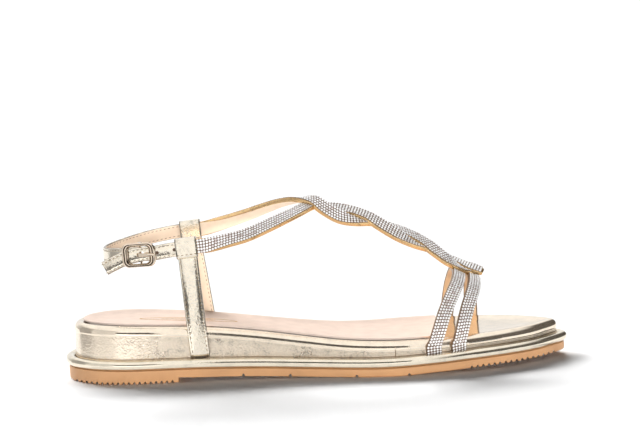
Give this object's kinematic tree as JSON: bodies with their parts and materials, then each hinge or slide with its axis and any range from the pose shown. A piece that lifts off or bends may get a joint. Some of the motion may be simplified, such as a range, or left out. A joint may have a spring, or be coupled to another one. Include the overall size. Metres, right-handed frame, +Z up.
{
  "type": "t-strap sandal",
  "caption": "Low-heeled dress sandal: wrapped footbed, twisted stone-set T-bar joining two vamp straps to a buckled ankle strap.",
  "frame": {"origin": "on the floor, under the middle of the outsole's length and on the line through the middle of the heel", "axes": "+X towards the toe, +Y towards the inner (medial) side of the foot, +Z up"},
  "size_m": [0.2562, 0.0841, 0.087],
  "materials": {
    "outsole_rubber": "matt caramel moulded rubber with fine toothed edge",
    "welt_leather": "champagne metallic leather wrapped over a round cord, satin gloss",
    "midsole_leather": "champagne metallic leather with a fine crackled grain",
    "sock_leather": "pale pinkish beige leather, matt",
    "stone_straps": "rows of clear stones in silver cups on a gold leather band with a peach lining",
    "strap_leather": "pale gold metallic leather, stitched along both edges, peach lining",
    "buckle_metal": "polished pale gold plate"
  },
  "bodies": {
    "root": {"outsole": "outsole_rubber", "welt": "welt_leather", "midsole": "midsole_leather", "insole_sock": "sock_leather", "upper": "stone_straps", "lateral_upright": "strap_leather", "medial_upright": "strap_leather", "heel_strap": "strap_leather", "billet": "strap_leather", "buckle_frame": "buckle_metal", "buckle_prong": "buckle_metal"}
  },
  "joints": []
}
